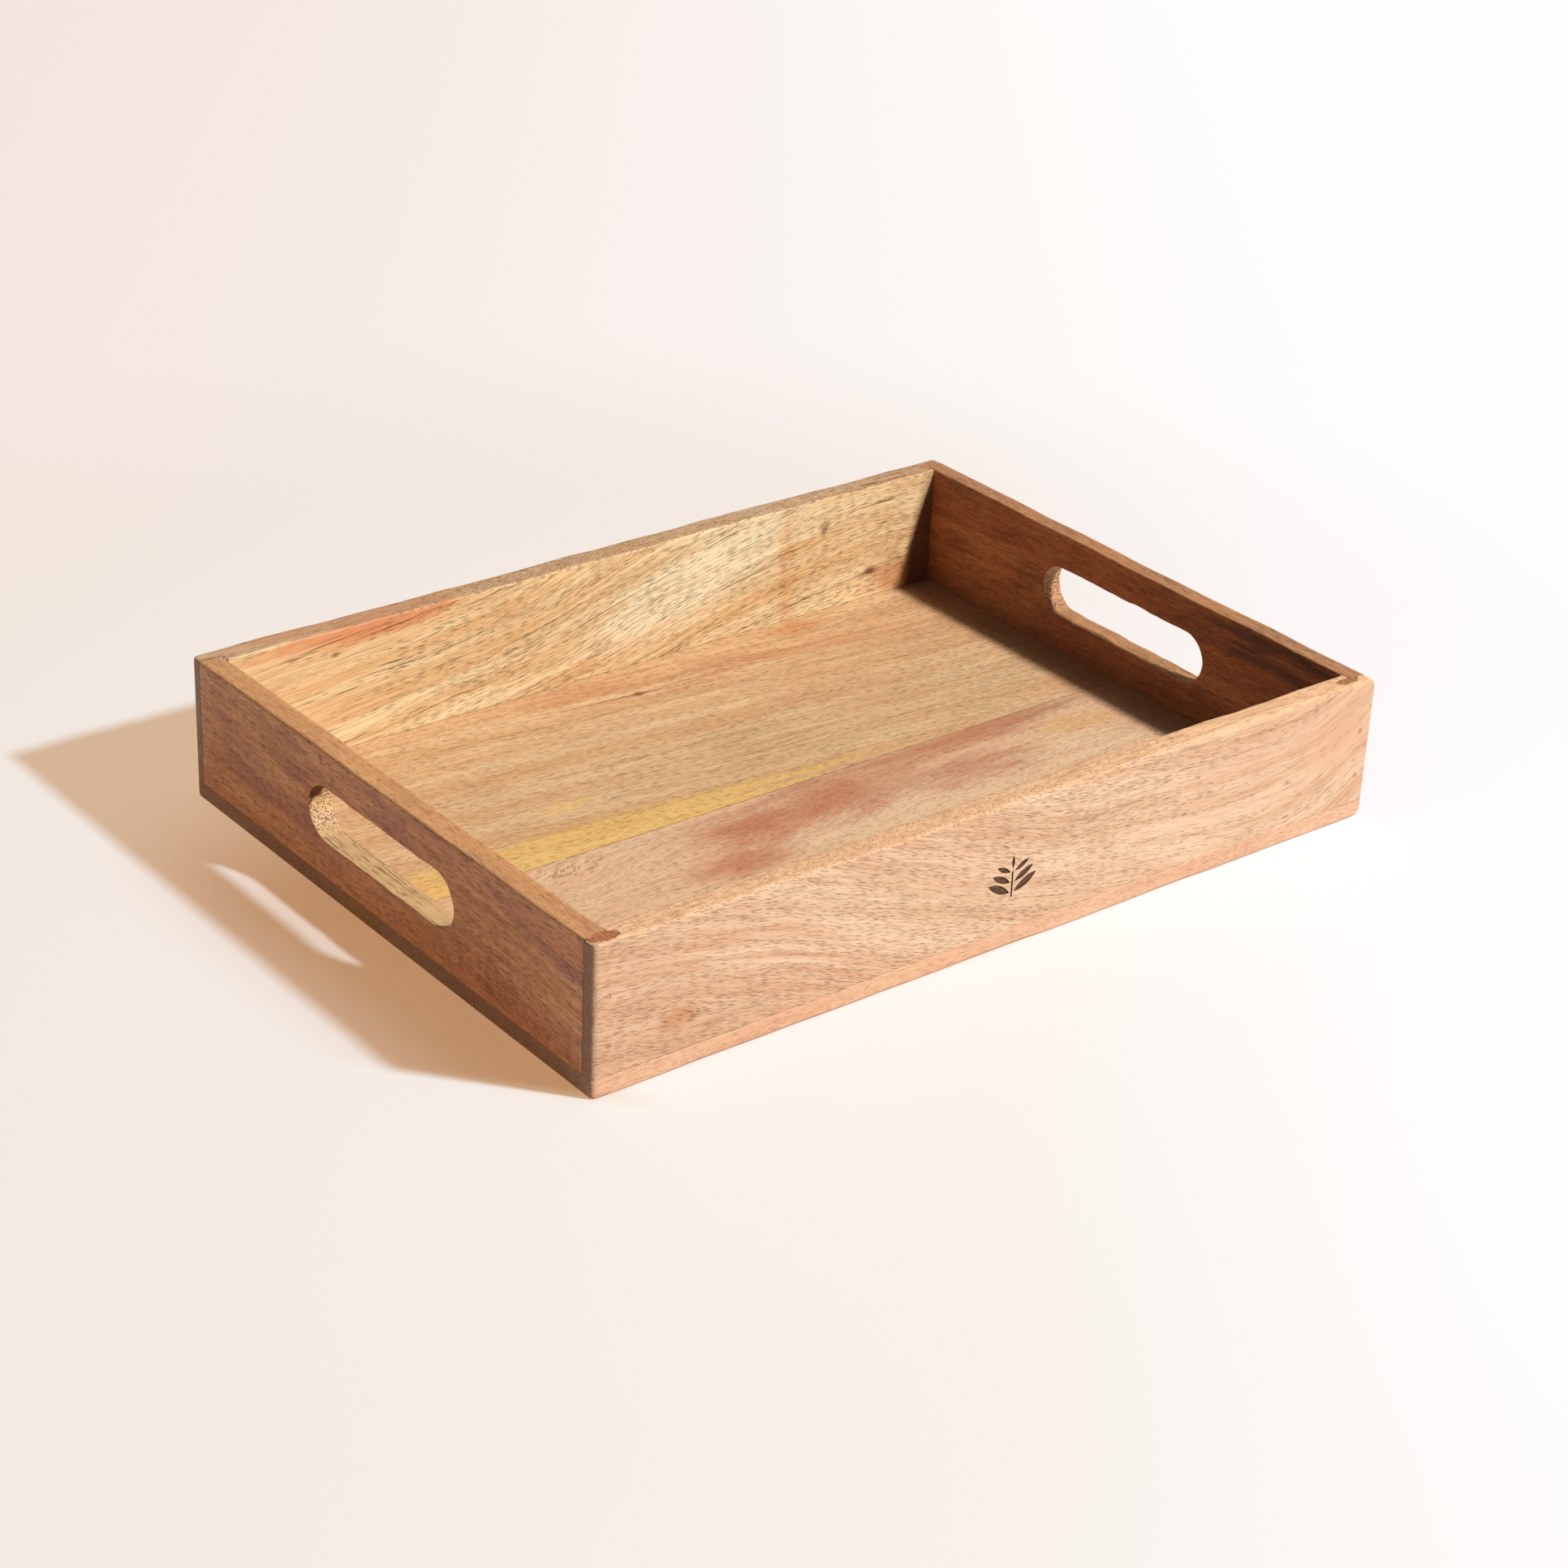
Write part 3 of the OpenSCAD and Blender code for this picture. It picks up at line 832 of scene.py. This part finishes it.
    def seam(self, place, at, width, strength=0.7, seed=0, span=None):
        """A dark glue line where place, one of s, v and w, is at a value in mm. span fades it along s."""
        away = self.math("ABSOLUTE", self.math("SUBTRACT", place, at))
        patchy = self.vector(self.times(self.s, 1 / 9), self.times(self.v, 1 / 9), seed)
        uneven = self.noise(patchy, 3.0, 0.6)
        share = self.times(self.step(away, width, width * 0.3), self.step(uneven, 0.28, 0.50))
        if span:
            share = self.times(share, self.step(self.s, span[1], span[0]))
        self.tint(share, SEAM_COLOUR, strength)

    def cut_ends(self):
        """Cut ends soak up the oil and turn darker, but for their open cells."""
        cells = self.vector(self.seed, self.times(self.v, 1 / 1.1), self.times(self.w, 1 / 1.6))
        open_cells = self.times(self.step(self.noise(cells, 4.0, 0.75), 0.46, 0.62), 0.2)
        soaked = self.blend(open_cells, shade(*self.tones["end"]), shade(*self.tones["rosy"]))
        end = self.step(self.math("ABSOLUTE", self.facing[self.along]), 0.55, 0.95)
        self.tint(end, soaked, 0.72)

    def done(self):
        """Roughness and a fine relief, and the wood is ready."""
        rough = self.scaled(self.fibres, 0.22, 0.44)
        rough = self.scaled(self.marks, 0.12, rough)
        height = self.scaled(self.marks, -0.09 * MM, self.times(self.fibres, 0.05 * MM))
        bump = self.add("ShaderNodeBump", {"Height": height, "Distance": 1.0, "Strength": 0.8}).outputs[0]
        self.put(self.shader.inputs["Base Color"], self.colour)
        self.put(self.shader.inputs["Roughness"], rough)
        self.put(self.shader.inputs["Normal"], bump)
        self.shader.inputs["Specular IOR Level"].default_value = 0.3
        return self.material


# Where the glue lines run: on top of the base, and between a rail's lips and an end board
BASE_TOP_MM = BASE_T / MM
LIP_MM = (HALF_W - LIP_T) / MM
SEAM_COLOUR = (92, 54, 38)

# Display colours of each board's wood: its bands, rosy clouds, pores and cut ends
FRONT_TONES = dict(
    light=(248, 214, 180), mid=(232, 188, 150), dark=(188, 136, 100),
    rosy=(230, 170, 138), pore=(132, 88, 62), end=(122, 74, 56),
)
GOLD_TONES = dict(
    light=(255, 234, 190), mid=(242, 202, 150), dark=(186, 144, 90),
    rosy=(234, 182, 128), pore=(100, 70, 38), end=(118, 74, 56),
)
BACK_PLANK_TONES = dict(
    light=(254, 218, 172), mid=(242, 196, 147), dark=(188, 146, 98),
    rosy=(234, 174, 128), pore=(114, 82, 50), end=(106, 54, 38),
)
FRONT_PLANK_TONES = dict(
    light=(255, 222, 184), mid=(252, 210, 168), dark=(214, 162, 122),
    rosy=(240, 184, 146), pore=(132, 90, 62), end=(106, 54, 38),
)
LEFT_TONES = dict(
    light=(255, 192, 138), mid=(238, 164, 114), dark=(164, 102, 64),
    rosy=(222, 140, 118), pore=(80, 46, 34),
)
RIGHT_TONES = dict(
    light=(208, 142, 94), mid=(184, 114, 72), dark=(122, 68, 44),
    rosy=(192, 104, 66), pore=(74, 42, 28),
)


def front_rail_wood():
    curves = ((-45, -60, 110), (16, 185, 28))
    wood = Wood("front_rail_wood", "X", "Z", FRONT_TONES, 2.0, curves_mm=curves, warp_mm=12)
    wood.swirl((-158, 21.5), (16, 9), lift_mm=7)
    wood.bands(9, fine=0.32)
    wood.stain((-150, 48), (30, 9), (228, 170, 122), 0.35, seed=8)
    wood.streaks((-105, 36), (70, 16), (254, 222, 190), gap_mm=3, strength=0.6, tilt=-0.3)
    wood.streaks((60, 26), (90, 20), (248, 216, 186), gap_mm=3, strength=0.3)
    wood.stain((-158, 21.5), (13, 6), (212, 150, 106), 0.8, seed=4, ragged=0.7)
    wood.stain((-142, 15), (7, 3), (176, 120, 80), 0.4, seed=6)
    wood.stain((175, 40), (30, 16), (236, 172, 136), 0.4, seed=15)
    # Painted light: the front rail's top is made as bright as its lit front face, beyond the usual wood
    # level
    wood.rail_top((255, 208, 162, 1.0), 0.7)
    wood.hairlines(0.8, 0.4, length_mm=16)
    wood.pores(6.4, 0.52, 0.6, fade=(20, 130))
    wood.seam(wood.v, BASE_TOP_MM, 0.35, strength=0.35)
    wood.seam(wood.v, BASE_TOP_MM, 0.45, strength=0.8, span=(-110, -10), seed=3)
    wood.lip_seams(-1)
    wood.cut_ends()
    return wood.done()


def back_rail_wood():
    wood = Wood("back_rail_wood", "X", "Z", GOLD_TONES, 11.0, curves_mm=((34, 0, 125),), warp_mm=9)
    wood.bands(8, dark=0.45, fine=0.28)
    brown = (118, 70, 44)
    wood.stain((50, 42), (75, 26), (255, 246, 212), 0.85, tilt=0.25, seed=9)
    wood.stain((-116, 60), (72, 9), (226, 150, 104), 0.85, seed=3)
    wood.stain((101, 32), (8, 60), (226, 164, 104), 0.4, seed=5)
    wood.stain((168, 14), (30, 20), (206, 134, 82), 0.75, seed=12)
    wood.streaks((10, 30), (175, 40), (184, 136, 82), gap_mm=0.9, strength=0.4, seed=4)
    wood.rail_top((236, 188, 152), 0.55)
    wood.hairlines(1.0, 0.9, length_mm=60)
    wood.pores(7.4, 0.54, 0.7, fade=(-60, -140))
    wood.stain((121, 49), (4, 4.5), brown, 0.6, seed=1)
    wood.stain((149, 21), (6, 3.2), brown, 0.9, seed=2, ragged=0.5)
    wood.stain((-135, 52), (3, 1.6), brown, 0.7, seed=7, ragged=0.4)
    # Painted shade: the rail's inner face is darkened in the back right corner, where the right end board
    # shades it
    painted_corner_shade = wood.step(wood.local((192, 8), (24, 64))[2], 1.0, 0.75)
    painted_corner_shade = wood.times(painted_corner_shade, wood.step(wood.facing["Y"], -0.3, -0.8))
    wood.tint(painted_corner_shade, (104, 64, 48), 0.9)
    wood.on_faces("Y", 0.5, 0.9, (240, 188, 148), 0.45)
    wood.seam(wood.v, BASE_TOP_MM, 0.4)
    wood.lip_seams(1)
    wood.cut_ends()
    return wood.done()


def base_back_wood():
    wood = Wood("base_back_wood", "X", "Y", BACK_PLANK_TONES, 21.0, slope=-0.095, warp_mm=9)
    wood.bands(12, dark=0.45, fine=0.3)
    red = (220, 154, 112)
    yellow = (255, 210, 126)
    brown = (166, 136, 90)
    wood.streaks((60, 32), (170, 36), brown, gap_mm=2.2, strength=0.22, tilt=-0.05)
    wood.streaks((40, 106), (120, 22), red, gap_mm=5, strength=0.65, tilt=-0.12, seed=3)
    wood.stain((100, 121), (22, 10), (230, 160, 104), 0.65, seed=2)
    wood.stain((-83, 36), (20, 6), yellow, 0.5, seed=6)
    wood.stain((-175, 12), (250, 15), yellow, 0.95, tilt=-0.05, ragged=0.7, soft=0.5)
    wood.streaks((-120, 12), (95, 15), (255, 222, 152), gap_mm=1.6, strength=0.8, seed=8)
    wood.streaks((-120, 16), (95, 15), (228, 164, 94), gap_mm=1.8, strength=0.25, seed=9)
    wood.hairlines(0.8, 0.55, length_mm=40)
    wood.pores(6.4, 0.5, 0.55)
    wood.stain((1, 104), (5, 3), (146, 80, 52), 0.8, seed=4, ragged=0.5)
    wood.plank_edges_and_painted_shade(1)
    wood.cut_ends()
    return wood.done()


def base_front_wood():
    wood = Wood("base_front_wood", "X", "Y", FRONT_PLANK_TONES, 33.0, slope=0.02, warp_mm=24)
    wood.swirl((-109, -8), (24, 12), lift_mm=9)
    wood.bands(14, dark=0.4, fine=0.28)
    red = (206, 122, 88)
    cream = (246, 212, 172)
    wood.stain((30, -16), (105, 28), (216, 154, 120), 0.7, seed=11, ragged=1.3)
    wood.stain((-53, -42), (30, 17), red, 0.65, seed=1)
    wood.stain((-31, -21), (36, 19), red, 0.65, seed=2)
    wood.stain((12, -17), (30, 20), red, 0.5, seed=5)
    wood.stain((85, -30), (44, 16), (214, 152, 120), 0.7, seed=19, ragged=1.1)
    wood.stain((98, -4), (66, 11), (208, 136, 100), 0.65, seed=7, ragged=1.2)
    wood.stain((125, -3), (50, 9), (180, 108, 74), 0.35, seed=17, ragged=1.2)
    wood.stain((138, -22), (36, 11), (240, 188, 124), 0.6, seed=20)
    wood.stain((32, -52), (66, 14), cream, 0.8, seed=13)
    wood.streaks((130, -40), (50, 20), (252, 224, 184), gap_mm=2.6, strength=0.75, tilt=-0.2)
    wood.rings((-109, -8), (19, 10), (184, 132, 98), count=2, strength=0.45)
    wood.hairlines(0.8, 0.4, length_mm=16)
    wood.pores(6.0, 0.5, 0.5)
    wood.plank_edges_and_painted_shade(-1)
    wood.cut_ends()
    return wood.done()


def left_end_wood():
    wood = Wood("left_end_wood", "Y", "Z", LEFT_TONES, 41.0, slope=0.03, warp_mm=9)
    wood.bands(7, dark=0.55, fine=0.36)
    wood.blotches(34, 7, (170, 110, 78), 0.5)
    wood.blotches(22, 5, (236, 158, 110), 0.5, shift=5)
    wood.blotches(70, 14, (180, 116, 110), 0.55, shift=9)
    wood.tint(wood.step(wood.v, 34, 10), (224, 142, 88), 0.35)
    wood.hairlines(0.9, 0.55, length_mm=12)
    wood.pores(6.4, 0.56, 0.58)
    wood.on_top((250, 196, 134), 0.7)
    walls = wood.in_slot((236, 202, 150), 0.85)
    # Painted shadow on the outer upper part of the slot's round end, which faces down, away from the lamp
    painted_slot_shadow = wood.step(wood.local((49.5, 44), (7.5, 7.5))[2], 1.0, 0.8)
    painted_slot_shadow = wood.times(painted_slot_shadow, wood.step(wood.w, -187.5, -190))
    wood.tint(wood.times(walls, painted_slot_shadow), (104, 46, 32), 0.95)
    for side in (-1, 1):
        wood.seam(wood.s, side * LIP_MM, 0.45, strength=0.85)
    return wood.done()


def right_end_wood():
    wood = Wood("right_end_wood", "Y", "Z", RIGHT_TONES, 53.0, slope=-0.02, warp_mm=9)
    wood.bands(7, dark=0.6, fine=0.45)
    wood.blotches(40, 9, (126, 70, 48), 0.55)
    wood.blotches(26, 8, (204, 122, 74), 0.45, shift=5)
    wood.streaks((-80, 56), (85, 11), (88, 50, 52), gap_mm=8, strength=0.75)
    wood.tint(wood.step(wood.v, 32, 8), (136, 82, 56), 0.4)
    wood.hairlines(0.9, 0.5, length_mm=12)
    wood.pores(6.4, 0.56, 0.45)
    wood.on_top((236, 186, 138), 0.7)
    wood.in_slot((226, 176, 130), 0.7)
    return wood.done()


def speckled(name, scale, noise, colours, steps, rough, relief_mm):
    """A fine-grained material: noise between two colours, with a roughness (spread, least) and a relief."""
    look = Look(name)
    place = look.add("ShaderNodeTexCoord").outputs["Object"]
    scaled = look.add("ShaderNodeVectorMath", {0: place, 1: scale}, operation="MULTIPLY").outputs[0]
    grains = look.noise(scaled, *noise)
    share = look.step(grains, *steps) if steps else grains
    look.put(look.shader.inputs["Base Color"], look.blend(share, *colours))
    look.put(look.shader.inputs["Roughness"], look.scaled(grains, *rough))
    if relief_mm:
        height = look.times(grains, relief_mm * MM)
        bump = look.add("ShaderNodeBump", {"Height": height, "Distance": 1.0}).outputs[0]
        look.put(look.shader.inputs["Normal"], bump)
    return look


def burnt_wood():
    """The floor and walls of the engraving: charred, with the fibres still showing."""
    colours = (srgb(52, 32, 20), srgb(104, 68, 44))
    scale = (250, 800, 1600)
    return speckled("burnt_wood", scale, (4.0, 0.7), colours, (0.35, 0.65), (0.2, 0.7), 0.1).material


def plain_steel():
    colours = ((0.42, 0.42, 0.44, 1), (0.6, 0.6, 0.62, 1))
    look = speckled("brad_steel", (900, 900, 900), (3.0, 0.5), colours, None, (0.3, 0.25), 0.0)
    look.shader.inputs["Metallic"].default_value = 1.0
    return look.material


def filler(name, tint, spot):
    scale = (700, 700, 700)
    return speckled(name, scale, (4.0, 0.65), (tint, spot), (0.4, 0.65), (0.2, 0.6), 0.12).material


# ---------------------------------------------------------------- putting the tray together
# Each long side's Y sign, rail and base plank
SIDES = ((-1, "front_rail", "base_plank_front"), (1, "back_rail", "base_plank_back"))
# Name, place and size in mm, and the two colours of each filler patch on a corner joint
CORNER_PATCHES = (
    ("patch_front_left", (-187.6, -135.6), (13.0, 5.4), (204, 138, 96), (170, 102, 68)),
    ("patch_front_right", (182.6, -134.9), (10.5, 4.6), (198, 148, 100), (158, 104, 66)),
    ("patch_back_left", (-184.5, 132.2), (11.0, 3.4), (232, 184, 160), (206, 146, 118)),
    ("patch_back_right", (186.5, 135.0), (11.0, 4.2), (222, 164, 132), (190, 124, 92)),
)


def end_node(x):
    return "left_end_board" if x < 0 else "right_end_board"


def settle(piece, node, material):
    """The piece rides with the tray, stands for its CAD node and has its own material."""
    piece.data.materials.append(material)
    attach(piece, "root")
    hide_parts(node)


def add_corner_patches(boards, cuts):
    for index, (name, (x, y), (length, width), tint, spot) in enumerate(CORNER_PATCHES):
        beside = ("front_rail" if y < 0 else "back_rail", end_node(x))
        around = [boards[node] for node in beside]
        place = Vector((x * MM, y * MM, TRAY_H))
        size = (length * MM, width * MM)
        up = Vector((0, 0, 1))
        piece, pocket = plug(name, place, up, size, PATCH_DEPTH, around, 700 + index, square=0.65)
        settle(piece, "corner_joint_fillers", filler(name, shade(*tint), shade(*spot)))
        for node in beside:
            cuts[node].append(pocket)


def add_corner_brads(boards, cuts, steel):
    """Brads through the rails' lips into the end boards, under plugs of filler that sit a little low."""
    look = filler("brad_filler", shade(214, 164, 122), shade(156, 110, 74))
    size = (2.1 * MM, 2.5 * MM)
    for side_y, node, _ in SIDES:
        out = Vector((0, side_y, 0))
        for index, (head, turn) in enumerate(corner_brad_places(side_y)):
            place = Vector((head.x, side_y * HALF_W, head.z))
            name = f"plug_{node}_{index}"
            seed = 800 + 10 * side_y + index
            around = [boards[node]]
            piece, mouth = plug(name, place, out, size, CORNER_SINK, around, seed, dish=0.1 * MM)
            settle(piece, "brad_hole_fillers", look)
            hole = brad_hole(head, turn, CORNER_BRAD_L, mouth=0.05 * MM)
            cuts[node] += [mouth, hole]
            cuts[end_node(head.x)].append(hole)
    places = corner_brad_places(-1) + corner_brad_places(1)
    settle(brads("corner_brad_set", places, CORNER_BRAD_L), "corner_brads", steel)


def add_base_brads(cuts, steel):
    """Brads up through the base into the rails and the end boards."""
    turn = Matrix.Rotation(math.pi, 4, "X")
    every = []
    for side_y, rail_node, plank_node in SIDES:
        rail_y = side_y * (HALF_W - RAIL_T / 2)
        end_x = HALF_L - END_T / 2
        places = [(x, rail_y, rail_node) for x in RAIL_BRAD_X]
        places += [(x, side_y * END_BRAD_Y, end_node(x)) for x in (-end_x, end_x)]
        for x, y, node in places:
            head = Vector((x, y, BASE_SINK))
            hole = brad_hole(head, turn, BASE_BRAD_L, mouth=BASE_SINK + 1 * MM)
            cuts[node].append(hole)
            cuts[plank_node].append(hole)
            every.append((head, turn))
    settle(brads("base_brad_set", every, BASE_BRAD_L), "base_brads", steel)


def build_tray():
    """The six boards, each for one CAD node, then what is set into them, then their holes."""
    boards = {}
    for node, board, slot_name, wood in (
        ("front_rail", rail("front_rail_board", -1, 100, rounder=1.2 * MM), "rail_wood", front_rail_wood()),
        ("back_rail", rail("back_rail_board", 1, 200), "rail_wood", back_rail_wood()),
        ("base_plank_front", plank("base_front_board", -1, 300), "base_front_wood", base_front_wood()),
        ("base_plank_back", plank("base_back_board", 1, 400), "base_back_wood", base_back_wood()),
        ("left_end_board", end_board("left_end_piece", -1, 500), "end_board_wood", left_end_wood()),
        ("right_end_board", end_board("right_end_piece", 1, 600), "end_board_wood", right_end_wood()),
    ):
        settle(board, node, wood)
        boards[node] = board

    cuts = {node: [] for node in boards}
    steel = plain_steel()
    add_corner_patches(boards, cuts)
    add_corner_brads(boards, cuts, steel)
    add_base_brads(cuts, steel)
    burnt = burnt_wood()
    for part in sprig_cutters():
        part.data.materials.append(burnt)
        cuts["front_rail"].append(part)
    for node, cutters in cuts.items():
        cut(boards[node], cutters)
    for cutter in {cutter for cutters in cuts.values() for cutter in cutters}:
        bpy.data.objects.remove(cutter)


make_camera()
make_lamp()
make_world()
make_floor()
build_tray()
bpy.context.scene.view_settings.view_transform = "Standard"
